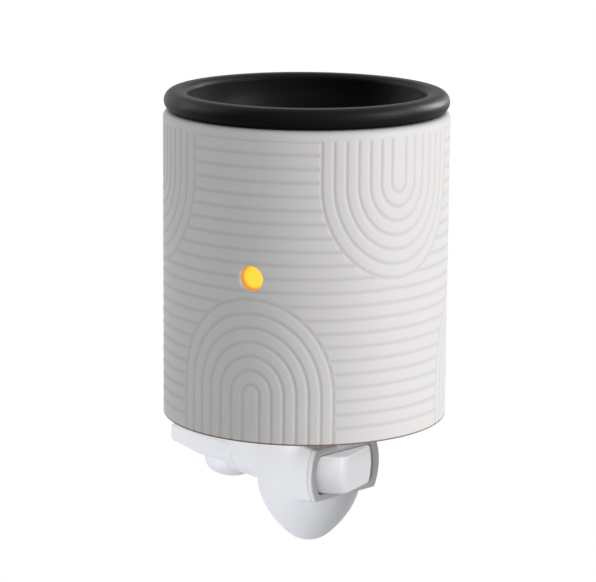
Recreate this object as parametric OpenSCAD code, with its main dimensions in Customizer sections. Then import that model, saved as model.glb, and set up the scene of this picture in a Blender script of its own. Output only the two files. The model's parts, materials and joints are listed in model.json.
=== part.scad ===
// Plug-in wax melt warmer: a ribbed ceramic shade on a plug housing, with a heater under a
// soft wax dish. Origin: middle of the plug face that meets the wall outlet. +Y runs into the
// wall, -Y is the switch side, +Z is up. Millimetres.

/* [Shade] */
// Outer radius of the ceramic shade, on the crests of its ribs
shade_r = 40; // [38:0.5:44]
// Height of the ceramic shade
shade_h = 86; // [80:1:100]
// Thickness of the ceramic wall
shade_wall = 4; // [3.5:0.25:4.5]
// Thickness of the ceramic floor
shade_floor = 5; // [4:0.5:6]
// Height of the pilot light above the shade's bottom edge
pilot_h = 45.6; // [36:0.2:52]
// Direction of the pilot light, turned from the switch side towards the left
pilot_turn = 66.5; // [60:0.5:75]
// Radius of the pilot light's hole
pilot_r = 3.5; // [3:0.1:4]

/* [Dish] */
// Inner radius of the dish at its lip
dish_lip_r = 33.4; // [32.5:0.1:34]
// Height of the dish's rim above the shade
dish_rim_h = 5.7; // [5:0.1:6.5]
// Depth of the wax well, from the lip to its floor
dish_depth = 22.7; // [20:0.1:24]
// Thickness of the dish's wall and floor
dish_wall = 2.2; // [1.8:0.1:2.4]

/* [Base] */
// Distance from the wall to the shade's axis
reach = 45; // [44:0.5:46]
// Height of the shade's bottom edge above the plug's middle
shade_z = 10; // [10:0.5:11]
// Greatest radius of the rounded body under the shade
body_r = 14.85; // [14.7:0.05:15.2]
// Depth of the body's round tip below the shade's bottom edge
body_depth = 37.7; // [37.2:0.1:38.4]
// Distance from the shade's axis to the flat switch panel
panel_out = 16.7; // [16.6:0.1:17]
// Half width of the plug end
plug_half_w = 10.6; // [10.3:0.1:11]
// Wall thickness of the plastic shells
shell_wall = 1.8; // [1.6:0.1:2]

/* [Switch] */
// Tilt of the rocker to either side of its middle
rocker_tilt = 16; // [12:1:17]
// Tilt of the inner contact to either side of its middle
contact_tilt = 8; // [6:0.5:8]
// Height of the rocker's flat face in front of its pivot
rocker_rise = 7.5; // [7:0.1:7.8]
// Radius of the rocker's bowed ends about its pivot, at their middle
rocker_r = 11.2; // [11:0.05:11.25]

/* [Plug] */
// Length of the blades outside the plug face
blade_out = 16; // [15.9:0.1:18.2]
// Spacing of the blades
blade_gap = 12.7; // [12.5:0.1:12.9]
// Thickness of each blade
blade_t = 1.5; // [1.4:0.05:1.6]

/* [Hidden] */
$fn = 72;

eps = 0.05;
// Clearance of a pin in its bore and of a tongue in its slot, on the radius
fit = 0.05;
axis_y = -reach;
shade_top = shade_z + shade_h;
shade_in = shade_r - shade_wall;
floor_top = shade_z + shade_floor;
gasket_t = 1;
base_top = shade_z - gasket_t;

// Wax dish
rim_w = 6.4;
rim_mid = dish_lip_r + rim_w / 2;
lip_z = shade_top + dish_rim_h - 0.4;
well_z = lip_z - dish_depth;
well_r = 27.5;
dish_under = well_z - dish_wall;

// Heater stack, hanging under the dish
plate_r = 29;
plate_t = 2;
plate_z = dish_under - plate_t;
holder_r = 31;
holder_ring_t = 3.5;
post_ring_r = 24.5;
post_r = 3.2;
posts = 3;
element_r = 8;
element_t = 3.5;
clamp_t = 0.8;
clamp_w = 10;
clamp_foot = 4.5;
rivet_r = 1.5;
rivet_depth = 1;

// Threaded stem and its nuts
stem_r = 5;
stem_bore = 3.6;
stem_low = 2.5;
stem_top = floor_top + 10;
nut_af = 14;
nut_h = 4;
base_plate_t = 2.5;
base_plate_r = 29;
washer_t = 1;
washer_r = 9;

// Body under the shade
body_y = axis_y - 2.2;
body_mid_z = shade_z - 14.2;
// The body tapers below this height, by a rule of its own, to a rounder tip
taper_z = shade_z - 18.45;
taper_h = 21.15;
taper_power = 0.866;
tip_r = 10.9;
tip_z = shade_z - body_depth;
panel_y = axis_y - panel_out;
panel_half_h = 7.55;
panel_mid_w = 13.8;
bow_centre = 2.25;
bezel_t = 1.6;
shoulder_half_w = 12.7;
shoulder_low = shade_z - 21.8;
shoulder_corner = 9;
seam_y = axis_y + 17;
seam_half_w = shoulder_half_w - 0.1;
arm_top = 5.2;
arm_low_mid = shade_z - 17.8;
arm_low_rear = -5.9;
slope_y = -14.4;
// The arm's upper part is narrower than its lower part: by step_in at the seam, and more at
// the plug face
step_z = -0.8;
step_half_w = 9.2;
step_wall = 1.2;
step_in = 0.4;
lump_y = axis_y + 29.4;
lump_r = 8.2;
lump_wall_z = -10.2;
lump_drop = 5;
tongue_len = 7;
tongue_half_w = 5.5;
tongue_lift = 2.2;
tongue_h = 4.5;
screw_x = 3.4;
screw_y = seam_y - tongue_len / 2;

// Switch
pivot_y = panel_y + 4.1;
cavity_half_h = 5.6;
cavity_mid_w = 11.6;
cavity_y = pivot_y + 7.4;
switch_back = cavity_y + 1.4;
rocker_half_h = 5.35;
rocker_bow_centre = 3.6;
trunnion_r = 1.5;
contact_y = cavity_y - 1.6;
contact_t = 0.6;
contact_half_l = 6.8;
contact_half_w = 2.4;
terminal_x = -6.2;
terminal_t = 0.8;
terminal_len = 6;

// Pilot light
lens_face_r = shade_r - 2.6;
lens_flange_r = 4.6;
lens_back_r = 31;
led_r = 2.5;
pilot_z = shade_z + pilot_h;

// Plug
line_h = 6.35;
neutral_h = 7.94;
tail_h = 5.2;
tail_end = -15;
end_wall = 2.2;
retainer_end = -12.5;
wire_r = 0.9;

function unit(v) = v / norm(v);

// Smooth curve through the points, a Catmull-Rom spline with steps parts to a span
function through(p, steps) = [
    for (i = [0 : len(p) - 2], s = [0 : steps - 1])
        let (a = p[max(i - 1, 0)], b = p[i], c = p[i + 1], d = p[min(i + 2, len(p) - 1)],
             t = s / steps)
        0.5 * ((2 * b) + (c - a) * t + (2 * a - 5 * b + 4 * c - d) * t * t
               + (3 * b - a - 3 * c + d) * t * t * t),
    p[len(p) - 1]
];

// Round tube along a path; its rings are square to the path
module tube(path, r, sides = 8) {
    n = len(path);
    ref = unit([0.31, 0.17, 0.94]);
    rings = [
        for (i = [0 : n - 1])
            let (t = unit(path[min(i + 1, n - 1)] - path[max(i - 1, 0)]),
                 u = unit(cross(t, abs(t * ref) > 0.96 ? [1, 0, 0] : ref)), v = cross(t, u))
            for (k = [0 : sides - 1])
                path[i] + r * (cos(360 * k / sides) * u + sin(360 * k / sides) * v)
    ];
    walls = [
        for (i = [0 : n - 2], k = [0 : sides - 1])
            let (a = i * sides + k, b = i * sides + (k + 1) % sides)
            each [[a, b + sides, b], [a, a + sides, b + sides]]
    ];
    low_end = [for (k = [1 : sides - 2]) [0, k, k + 1]];
    high = (n - 1) * sides;
    high_end = [for (k = [1 : sides - 2]) [high, high + k + 1, high + k]];
    polyhedron(rings, concat(walls, low_end, high_end));
}

// Flat outline with bowed sides, of a half height and a half width at its middle. All such
// outlines of the switch and its panel share their arcs' centres
module barrel(half_h, mid_w) {
    intersection() {
        square([2 * mid_w, 2 * half_h], center = true);
        translate([-bow_centre, 0]) circle(mid_w + bow_centre);
        translate([bow_centre, 0]) circle(mid_w + bow_centre);
    }
}

// Stands a flat X-Z outline up and gives it depth from y0 back to y1
module along_y(y0, y1) {
    translate([0, y1, 0]) rotate([90, 0, 0]) linear_extrude(y1 - y0) children();
}

module bore_z(x, y, z0, z1, r) {
    translate([x, y, z0]) cylinder(h = z1 - z0, r = r);
}

// Places children with +X running out through the pilot light's hole
module at_pilot() {
    translate([0, axis_y, pilot_z]) rotate(-90 - pilot_turn) rotate([0, 90, 0]) children();
}

module rod_out(r0, r1, r) {
    translate([0, 0, r0]) cylinder(h = r1 - r0, r = r);
}

// Egg-shaped solid of the body, wall thinner by inset
module egg(inset, top) {
    r = body_r - inset;
    drop = taper_h - inset;
    steps = 24;
    translate([0, body_y, 0]) rotate_extrude()
        polygon(concat([[0, top], [r, top]], [
            for (i = [0 : steps])
                let (t = i / steps, out = r * pow(1 - t * t, taper_power))
                [out, max(taper_z - drop * t, tip_z + inset + out * out / (2 * tip_r))]
        ]));
}

// Section of the shoulder: straight sides, round lower corners, cut level at the top
module shoulder_section(inset, top) {
    half_w = shoulder_half_w - inset;
    low = shoulder_low + inset;
    corner = shoulder_corner - inset;
    translate([-half_w, low + corner]) square([2 * half_w, top - low - corner]);
    translate([corner - half_w, low]) square([2 * (half_w - corner), corner + 1]);
    for (side = [-1, 1])
        translate([side * (half_w - corner), low + corner]) circle(corner);
}

module ceramic_shade() {
    edge = 1.6;
    foot = 0.3;
    color("whitesmoke") difference() {
        translate([0, axis_y, 0]) rotate_extrude() {
            translate([0, shade_z]) square([shade_r - foot, foot]);
            translate([0, shade_z + foot]) square([shade_r, shade_h - foot - edge]);
            translate([0, shade_top - edge]) square([shade_r - edge, edge]);
            translate([shade_r - edge, shade_top - edge]) circle(edge);
            translate([shade_r - foot, shade_z + foot]) circle(foot);
        }
        bore_z(0, axis_y, floor_top, shade_top + 1, shade_in);
        bore_z(0, axis_y, shade_z - 1, floor_top + 1, stem_r + 0.3);
        at_pilot() rod_out(shade_in - 8, shade_r + 1, pilot_r);
    }
}

module silicone_dish() {
    half = dish_rim_h / 2;
    rim_z = shade_top + half;
    skirt_r = dish_lip_r + dish_wall - 0.4;
    color([0.05, 0.05, 0.055]) translate([0, axis_y, 0]) rotate_extrude() {
        // Rolled rim, round outside and on top
        translate([rim_mid, rim_z]) {
            translate([rim_w / 2 - half, 0]) circle(half);
            translate([half - rim_w / 2, 0]) circle(half);
            square([rim_w - 2 * half, dish_rim_h], center = true);
        }
        // Well: its wall leans in towards the floor
        polygon([
            [0, dish_under], [well_r, dish_under], [well_r + dish_wall, well_z],
            [skirt_r, shade_top - 1], [skirt_r, rim_z], [dish_lip_r, rim_z],
            [dish_lip_r - 0.2, shade_top - 1], [well_r, well_z], [0, well_z]
        ]);
    }
}

module at_posts(r = post_ring_r) {
    for (i = [0 : posts - 1])
        translate([0, axis_y, 0]) rotate(30 + 360 * i / posts) translate([r, 0, 0]) children();
}

module heater_plate() {
    color([0.78, 0.79, 0.8]) difference() {
        bore_z(0, axis_y, plate_z, dish_under, plate_r);
        at_posts() translate([0, 0, plate_z - 1]) cylinder(h = 4, r = 1.7);
        at_posts() translate([0, 0, dish_under - 1.6]) cylinder(h = 1.65, r1 = 1.7, r2 = 2.8);
        for (side = [-1, 1])
            bore_z(side * (element_r + clamp_foot), axis_y, plate_z - 1, plate_z + rivet_depth,
                   rivet_r + fit / 2);
    }
}

module plate_screws() {
    length = 9;
    color([0.7, 0.7, 0.72]) at_posts() difference() {
        union() {
            translate([0, 0, dish_under - length]) cylinder(h = length - 0.1, r = 1.5);
            translate([0, 0, dish_under - 1.5]) cylinder(h = 1.4, r1 = 1.5, r2 = 2.5);
        }
        for (turn = [0, 90])
            translate([0, 0, dish_under - 0.4]) rotate(turn) cube([2.8, 0.5, 1], center = true);
    }
}

module heater_element() {
    color([0.85, 0.83, 0.78])
        bore_z(0, axis_y, plate_z - element_t, plate_z, element_r);
}

module heater_clamp() {
    low = plate_z - element_t;
    wall_x = element_r + 1.2;
    foot_x = element_r + 2 * clamp_foot - 1;
    color([0.75, 0.76, 0.78]) difference() {
        along_y(axis_y - clamp_w / 2, axis_y + clamp_w / 2) union() {
            translate([-wall_x, low - clamp_t]) square([2 * wall_x, clamp_t]);
            for (side = [-1, 1]) {
                translate([side * wall_x - clamp_t / 2, low - clamp_t])
                    square([clamp_t, element_t + clamp_t]);
                translate([side > 0 ? wall_x : -foot_x, plate_z - clamp_t])
                    square([foot_x - wall_x, clamp_t]);
            }
        }
        for (side = [-1, 1])
            bore_z(side * (element_r + clamp_foot), axis_y, plate_z - 2, plate_z + 1,
                   rivet_r + fit / 2);
    }
}

module clamp_rivets() {
    color([0.8, 0.8, 0.82]) for (side = [-1, 1]) {
        x = side * (element_r + clamp_foot);
        bore_z(x, axis_y, plate_z - clamp_t, plate_z + rivet_depth, rivet_r);
        bore_z(x, axis_y, plate_z - clamp_t - 0.8, plate_z - clamp_t, rivet_r + 1);
    }
}

module thermal_fuse() {
    fuse_y = axis_y + 12.5;
    fuse_r = 2;
    fuse_z = plate_z - fuse_r - 0.1;
    color([0.72, 0.7, 0.64]) translate([0, fuse_y, fuse_z]) rotate([0, 90, 0]) {
        cylinder(h = 11, r = fuse_r, center = true);
        cylinder(h = 22, r = 0.5, center = true);
    }
}

module heater_holder() {
    ring_low = plate_z - holder_ring_t;
    color([0.9, 0.9, 0.88]) difference() {
        union() {
            bore_z(0, axis_y, ring_low, plate_z, holder_r);
            translate([0, axis_y, plate_z]) difference() {
                cylinder(h = plate_t - 0.5, r = holder_r);
                translate([0, 0, -1]) cylinder(h = plate_t + 2, r = plate_r + 0.1);
            }
            at_posts() translate([0, 0, floor_top]) cylinder(h = ring_low - floor_top + 1, r = post_r);
            bore_z(0, axis_y, floor_top, floor_top + base_plate_t, base_plate_r);
        }
        bore_z(0, axis_y, ring_low - 1, plate_z + 0.01, 19);
        bore_z(0, axis_y, floor_top - 1, floor_top + base_plate_t + 1, stem_r + 0.2);
        at_posts() translate([0, 0, dish_under - 11]) cylinder(h = 12, r = 1.5 + fit / 2);
        // Lightening windows between the posts' feet
        at_posts(-15) translate([0, 0, floor_top - 1]) cylinder(h = base_plate_t + 2, r = 4);
    }
}

module stem() {
    color([0.8, 0.68, 0.35]) difference() {
        bore_z(0, axis_y, stem_low, stem_top, stem_r);
        bore_z(0, axis_y, stem_low - 1, stem_top + 1, stem_bore);
    }
}

module stem_nuts() {
    low_z = base_top - shell_wall - nut_h - 0.02;
    high_z = floor_top + base_plate_t + washer_t + 0.02;
    color([0.8, 0.68, 0.35]) for (z = [low_z, high_z]) difference() {
        translate([0, axis_y, z]) cylinder(h = nut_h, r = nut_af / 2 / cos(30), $fn = 6);
        bore_z(0, axis_y, z - 1, z + nut_h + 1, stem_r + 0.02);
    }
}

module stem_washer() {
    low = floor_top + base_plate_t;
    color([0.6, 0.2, 0.15]) difference() {
        bore_z(0, axis_y, low, low + washer_t, washer_r);
        bore_z(0, axis_y, low - 1, low + washer_t + 1, stem_r + 0.1);
    }
}

module base_gasket() {
    color([0.88, 0.88, 0.87]) difference() {
        bore_z(0, axis_y, base_top, shade_z, 12);
        bore_z(0, axis_y, base_top - 1, shade_z + 1, stem_r + 0.2);
    }
}

// Outer form of the front shell, or its hollow when inset is the wall thickness
module front_form(inset) {
    top = base_top - inset;
    egg(inset, top);
    along_y(panel_y + bezel_t, body_y) translate([0, body_mid_z])
        barrel(panel_half_h - inset, panel_mid_w - inset);
    along_y(body_y, seam_y + (inset > 0 ? 1 : 0)) shoulder_section(inset, top);
}

module front_shell() {
    opening_wall = 1.2;
    color("white") difference() {
        front_form(0);
        front_form(shell_wall);
        along_y(panel_y, body_y - 4) translate([0, body_mid_z])
            barrel(panel_half_h - opening_wall, panel_mid_w - opening_wall);
        // Seat of the switch's flange
        along_y(panel_y - 1, panel_y + bezel_t) translate([0, body_mid_z])
            barrel(panel_half_h + eps, panel_mid_w + eps);
        bore_z(0, axis_y, base_top - 4, base_top + 1, stem_r + 0.1);
        for (side = [-1, 1]) {
            bore_z(side * screw_x, screw_y, shoulder_low - 1, shoulder_low + 4, 1.5 + fit);
            bore_z(side * screw_x, screw_y, shoulder_low - 1, shoulder_low + 0.8, 2.9);
        }
    }
}

// Plan outline of the arm: the sides draw in towards the plug face, with round rear corners
module arm_plan(front_w, rear_w, front, rear, corner) {
    polygon([
        [-front_w, front], [front_w, front], [rear_w, rear - corner], [-rear_w, rear - corner]
    ]);
    translate([corner - rear_w, rear - corner - 0.5])
        square([2 * (rear_w - corner), corner + 0.5]);
    for (side = [-1, 1])
        translate([side * (rear_w - corner), rear - corner]) circle(corner);
}

// The arm, or its hollow when inset is the wall thickness
module arm_form(inset) {
    corner = inset > 0 ? 0.5 : 0.8;
    rear = -(inset > 0 ? end_wall : 0);
    front = seam_y - (inset > 0 ? 1 : 0);
    step_inset = inset > 0 ? step_wall : 0;
    intersection() {
        // Side view: the underside rises from the shoulder, then slowly to the plug face
        translate([20, 0, 0]) rotate([90, 0, -90]) linear_extrude(40)
            polygon([
                [-front, shoulder_low + inset], [-seam_y - 1, shoulder_low + 1.4 + inset],
                [-seam_y - 3, arm_low_mid - 1 + inset], [-seam_y - 6, arm_low_mid + inset],
                [-slope_y, arm_low_mid + inset], [-rear, arm_low_rear + inset],
                [-rear, arm_top - inset], [-front, base_top - inset]
            ]);
        along_y(front, rear) shoulder_section(inset, base_top);
        union() {
            translate([0, 0, -20]) linear_extrude(20 + step_z - inset)
                arm_plan(seam_half_w - inset, plug_half_w - inset, front, rear, corner);
            translate([0, 0, -20]) linear_extrude(40)
                arm_plan(seam_half_w - step_in - inset, step_half_w - step_inset, front, rear, corner);
        }
    }
}

module lump(inset) {
    r = lump_r - inset;
    drop = lump_drop - inset;
    steps = 12;
    translate([0, lump_y, 0]) rotate_extrude()
        polygon(concat([[0, arm_low_mid + 2], [r, arm_low_mid + 2]], [
            for (i = [0 : steps])
                [r * cos(90 * i / steps), lump_wall_z - drop * sin(90 * i / steps)]
        ]));
}

module rear_shell() {
    tongue_low = shoulder_low + tongue_lift;
    color("white") difference() {
        union() {
            difference() {
                union() {
                    arm_form(0);
                    lump(0);
                }
                arm_form(shell_wall);
                lump(shell_wall);
            }
            // Tongue that the front shell is screwed to, with its web on the arm's floor
            translate([-tongue_half_w, seam_y - tongue_len, tongue_low])
                cube([2 * tongue_half_w, tongue_len + 3, tongue_h]);
        }
        for (side = [-1, 1])
            bore_z(side * screw_x, screw_y, tongue_low - 1, tongue_low + tongue_h + 1, 1.5 + fit);
        for (side = [-1, 1])
            translate([side * blade_gap / 2, -end_wall / 2, 0])
                cube([blade_t + 2 * fit, end_wall + 1, (side < 0 ? neutral_h : line_h) + 2 * fit],
                     center = true);
    }
}

module shell_screws() {
    head_z = shoulder_low + 0.8;
    color([0.7, 0.7, 0.72]) for (side = [-1, 1]) difference() {
        union() {
            bore_z(side * screw_x, screw_y, head_z - 0.7, head_z + 5.5, 1.5);
            bore_z(side * screw_x, screw_y, head_z - 0.75, head_z - 0.02, 2.6);
        }
        for (turn = [0, 90])
            translate([side * screw_x, screw_y, head_z - 0.7]) rotate(turn)
                cube([3, 0.5, 0.8], center = true);
    }
}

module switch_body() {
    color([0.93, 0.93, 0.93]) difference() {
        union() {
            along_y(panel_y, panel_y + bezel_t) translate([0, body_mid_z])
                barrel(panel_half_h, panel_mid_w);
            along_y(panel_y + bezel_t - eps, switch_back) translate([0, body_mid_z])
                barrel(panel_half_h - 1.3, panel_mid_w - 1.35);
        }
        along_y(panel_y - 1, cavity_y) translate([0, body_mid_z])
            barrel(cavity_half_h, cavity_mid_w);
        bore_z(0, pivot_y, body_mid_z - 8, body_mid_z + 8, trunnion_r + fit);
        for (x = [0, terminal_x])
            translate([x, switch_back, body_mid_z])
                cube([terminal_t + 2 * fit, 6, 2 * contact_half_w + 2 * fit], center = true);
        // The body inside the flange is cut short of the shell's corners
        for (side = [-1, 1])
            translate([side * 15, switch_back, body_mid_z]) cube([6, 6.4, 20], center = true);
    }
}

// Rocker's form about its pivot: bowed round ends under a flat face, +Y out of the panel
module rocker_form(r, half_h, rise, back) {
    intersection() {
        rotate_extrude() intersection() {
            translate([-rocker_bow_centre, 0]) circle(r + rocker_bow_centre);
            translate([0, -half_h]) square([r, 2 * half_h]);
        }
        translate([-r, -back, -half_h]) cube([2 * r, rise + back, 2 * half_h]);
    }
}

// Turns children about the rocker's pivot, with the right side pressed in
module at_rocker() {
    translate([0, pivot_y, body_mid_z]) rotate(rocker_tilt) rotate([0, 0, 180]) children();
}

module switch_rocker() {
    skin = 1.4;
    color([0.95, 0.95, 0.96]) at_rocker() difference() {
        union() {
            difference() {
                rocker_form(rocker_r, rocker_half_h, rocker_rise, 0.6);
                rocker_form(rocker_r - skin, rocker_half_h - skin, rocker_rise - skin, 3);
            }
            // Spring barrel, and the webs that tie it and the trunnions to the skin
            translate([0, rocker_rise - 1, 0]) rotate([90, 0, 0]) cylinder(h = 8.7, r = 2.4);
            translate([-1, -0.6, -rocker_half_h]) cube([2, rocker_rise, 2 * rocker_half_h]);
            cylinder(h = 2 * (rocker_half_h + 0.85), r = trunnion_r, center = true);
        }
        translate([0, 5, 0]) rotate([90, 0, 0]) cylinder(h = 9, r = 1.6);
    }
}

module rocker_plunger() {
    tip_r = 0.9;
    tip_at = 4.1;
    color([0.85, 0.85, 0.8]) at_rocker() rotate([90, 0, 0]) {
        translate([0, 0, -1]) cylinder(h = 2.6, r = 1.5);
        translate([0, 0, 1.5]) cylinder(h = tip_at - 1.5, r = tip_r);
        translate([0, 0, tip_at]) sphere(tip_r);
    }
}

module plunger_spring() {
    coil_r = 1.1;
    wire = 0.18;
    turns = 6;
    steps = 10;
    low = 1.25;
    high = 4.75;
    path = [
        for (i = [0 : turns * steps])
            [coil_r * cos(360 * i / steps), coil_r * sin(360 * i / steps),
             -low - (high - low) * i / (turns * steps)]
    ];
    color([0.8, 0.8, 0.82]) at_rocker() rotate([90, 0, 0]) tube(path, wire, 6);
}

module switch_contact() {
    color([0.8, 0.62, 0.3])
        translate([0, contact_y, body_mid_z]) rotate(-contact_tilt)
            translate([-contact_half_l, -0.7, 1 - contact_half_w])
                cube([2 * contact_half_l, contact_t, 2 * (contact_half_w - 1)]);
}

module switch_terminals() {
    seat = contact_y + 0.08;
    touch = contact_y + contact_half_l * tan(contact_tilt) + 0.1;
    color([0.8, 0.62, 0.3]) for (x = [0, terminal_x]) {
        front = x == 0 ? seat : touch;
        width = x == 0 ? terminal_t : 1.6;
        translate([x - terminal_t / 2, cavity_y - 0.3, body_mid_z - contact_half_w])
            cube([terminal_t, terminal_len + 1.7, 2 * contact_half_w]);
        translate([x - width / 2, front, body_mid_z - contact_half_w])
            cube([width, cavity_y - front, 2 * contact_half_w]);
    }
}

// One plug blade: a tall outer blade, a lower tail in the retainer and a hole near the tip
module blade(side, height) {
    x = side * blade_gap / 2;
    tip = 1.5;
    color([0.83, 0.7, 0.38]) difference() {
        union() {
            translate([x + blade_t / 2, 0, 0]) rotate([0, -90, 0]) linear_extrude(blade_t)
                polygon([
                    [-height / 2, -end_wall], [height / 2, -end_wall],
                    [height / 2, blade_out - tip], [height / 2 - tip, blade_out],
                    [tip - height / 2, blade_out], [-height / 2, blade_out - tip]
                ]);
            translate([x - blade_t / 2, tail_end, -tail_h / 2])
                cube([blade_t, -end_wall - tail_end, tail_h]);
        }
        translate([x, blade_out - 4.5, 0]) rotate([0, 90, 0])
            cylinder(h = 2 * blade_t, r = 1.6, center = true);
    }
}

module line_blade() {
    blade(1, line_h);
}

module neutral_blade() {
    blade(-1, neutral_h);
}

module blade_retainer() {
    half_w = 7.7;
    gap = 0.1;
    color([0.86, 0.86, 0.84]) difference() {
        translate([-half_w, retainer_end, -2.95])
            cube([2 * half_w, -retainer_end - end_wall - gap, 6.2]);
        for (side = [-1, 1])
            translate([side * blade_gap / 2, retainer_end / 2 - 1, 0])
                cube([blade_t + 2 * fit, -retainer_end + 2, tail_h + 2 * fit], center = true);
    }
}

// Insulated wires, from their stripped ends at the terminals
line_route = [
    [6.35, -15.4, 0], [6.35, -19, 0.3], [6, -26, 1.5], [4, -34, 0], [1.5, -38, -2],
    [0, -41.7, -4.2]
];
switched_route = [
    [-6.2, -41.7, -4.2], [-6.2, -38.5, -3], [-5.5, -36.5, -0.5], [-3, -38, 0.5],
    [-1.6, -42, 0], [-1.6, -45, 2], [-1.6, -45, 8], [-1.6, -45, 26], [-3, -43, 34],
    [-9, -36, 52], [-14, -33, 66], [-12.6, -32.6, 71.2]
];
neutral_route = [
    [-6.35, -15.4, 0], [-6.4, -20, 0.6], [-5, -28, 1.6], [-1, -34, 1.6], [1.6, -39, 0.5],
    [1.6, -43.5, 0], [1.6, -45, 2.5], [1.6, -45, 9], [1.6, -45, 26], [3, -47, 36],
    [6, -51, 52], [6, -52.5, 66], [4, -51.5, 69.5]
];

module line_wire() {
    color([0.1, 0.1, 0.1]) tube(through(line_route, 4), wire_r);
}

module switched_wire() {
    color([0.7, 0.1, 0.08]) tube(through(switched_route, 4), wire_r);
}

module neutral_wire() {
    color([0.9, 0.9, 0.88]) tube(through(neutral_route, 4), wire_r);
}

module pilot_lens() {
    color([1, 0.72, 0.1]) at_pilot() difference() {
        union() {
            rod_out(shade_in - 2, lens_face_r, pilot_r - 0.05);
            rod_out(lens_back_r, shade_in - 1, lens_flange_r);
        }
        rod_out(lens_back_r - 1, lens_back_r + 4, led_r + fit);
    }
}

module pilot_led() {
    lead_gap = 1.27;
    color([1, 0.85, 0.3]) at_pilot() {
        rod_out(lens_back_r - 1, lens_back_r + 1.4, led_r);
        translate([0, 0, lens_back_r + 1.4]) sphere(led_r);
        rod_out(lens_back_r - 2, lens_back_r - 1, led_r + 0.4);
        for (side = [-1, 1])
            translate([0, side * lead_gap, 0]) rod_out(lens_back_r - 6, lens_back_r - 2, 0.3);
    }
}

module pilot_resistor() {
    color([0.8, 0.7, 0.5]) at_pilot() translate([0, -1.27, 0]) {
        rod_out(16, 22, 1.2);
        rod_out(14, 16, 0.3);
        rod_out(22, 24.8, 0.3);
    }
}

// Thin leads from the pilot light up to the heater's terminals
module pilot_wires() {
    out = [-sin(pilot_turn), -cos(pilot_turn), 0];
    across = [cos(pilot_turn), -sin(pilot_turn), 0];
    centre = [0, axis_y, pilot_z];
    starts = [centre + out * 13.5 - across * 1.27, centre + out * 24.4 + across * 1.27];
    ends = [[-7, -54.5, 70.2], [-11.5, -49, 69.4]];
    color([0.85, 0.2, 0.1]) for (i = [0, 1]) {
        mid = [for (k = [0 : 2]) (starts[i][k] + ends[i][k]) / 2];
        tube(through([starts[i], starts[i] - out * 1.5, mid + [0, 0, 2], ends[i]], 5), 0.5);
    }
}

ceramic_shade();
silicone_dish();
heater_plate();
plate_screws();
heater_element();
heater_clamp();
clamp_rivets();
thermal_fuse();
heater_holder();
stem();
stem_nuts();
stem_washer();
base_gasket();
front_shell();
rear_shell();
shell_screws();
switch_body();
switch_rocker();
rocker_plunger();
plunger_spring();
switch_contact();
switch_terminals();
line_blade();
neutral_blade();
blade_retainer();
line_wire();
switched_wire();
neutral_wire();
pilot_lens();
pilot_led();
pilot_resistor();
pilot_wires();
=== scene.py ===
"""Looks of the plug-in wax melt warmer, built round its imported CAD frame.

Blender's places are in metres. The rules that shape the housing are in millimetres.
"""
import json
import math

import bmesh
import bpy
import numpy as np
from mathutils import Matrix, Vector


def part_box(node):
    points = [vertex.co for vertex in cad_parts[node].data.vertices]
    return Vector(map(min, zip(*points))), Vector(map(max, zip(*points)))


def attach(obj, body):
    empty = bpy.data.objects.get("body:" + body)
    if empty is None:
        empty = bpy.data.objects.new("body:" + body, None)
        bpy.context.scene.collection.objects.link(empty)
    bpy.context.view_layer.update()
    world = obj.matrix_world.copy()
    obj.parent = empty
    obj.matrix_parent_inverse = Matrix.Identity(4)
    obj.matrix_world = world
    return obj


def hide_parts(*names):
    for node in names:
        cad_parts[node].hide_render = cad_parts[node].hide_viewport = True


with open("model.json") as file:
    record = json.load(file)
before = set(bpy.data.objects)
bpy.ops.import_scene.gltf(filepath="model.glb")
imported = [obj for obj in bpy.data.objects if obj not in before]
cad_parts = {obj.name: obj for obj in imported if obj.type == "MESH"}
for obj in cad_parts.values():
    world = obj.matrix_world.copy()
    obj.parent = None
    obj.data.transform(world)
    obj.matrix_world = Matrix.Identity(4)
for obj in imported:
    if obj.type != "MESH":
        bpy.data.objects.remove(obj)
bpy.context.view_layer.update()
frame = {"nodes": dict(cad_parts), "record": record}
MM = 0.001
WHITE = (1.0, 1.0, 1.0, 1.0)


# Shade and pilot light, in metres; heights on the shade are above its foot

shade_low, shade_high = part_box("ceramic_shade")
AXIS = (shade_low + shade_high) / 2
SHADE_R = (shade_high.x - shade_low.x) / 2
SHADE_Z = shade_low.z
SHADE_TOP = shade_high.z
SHADE_H = SHADE_TOP - SHADE_Z
SHADE_WALL = 4 * MM
SHADE_FLOOR = 5 * MM
FLOOR_BEVEL = 1 * MM
SHADE_EDGE_R = 1.6 * MM
SHADE_LIP_R = 0.6 * MM
SHADE_FOOT_R = 0.3 * MM
STEM_HOLE_R = 5.3 * MM
SHADE_COLUMNS = 900
SHADE_ROWS = 270

# Unglazed underside, whose line shows along the foot and pales towards the stem
BARE_TOP = 0.55 * MM
BARE_FADE = 0.25 * MM
BARE_AT_STEM = 0.6

# Direction of the pilot light about the shade's axis, from +X towards +Y
PILOT_TURN = math.radians(-90 - 66.5)
PILOT_Z = SHADE_Z + 45.6 * MM
PILOT_HOLE_R = 3.5 * MM
PILOT_CUT = (30 * MM, 44 * MM)

# Relief of the shade: grooves between ribs, as rings and as arches in turn up and down
GROOVE_DEPTH = 0.2 * MM
GROOVE_HALF_W = 0.5 * MM
GROOVE_LOW = 0.2 * MM
RING_FIRST = 4.6 * MM
RING_PITCH = 3.75 * MM
RING_COUNT = 22
ARCH_TURN = 2 * math.pi / 3
ARCH_FIRST = 2.8 * MM
ARCH_PITCH = 3.93 * MM
ARCH_COUNT = 7
ARCH_SQUEEZE = 1.156
ARCH_CENTRE = 13.5 * MM
ARCH_TOP_CENTRE = 71.4 * MM
PLAIN_BAND = 2.6 * MM


# Plastic housing, in millimetres

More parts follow.
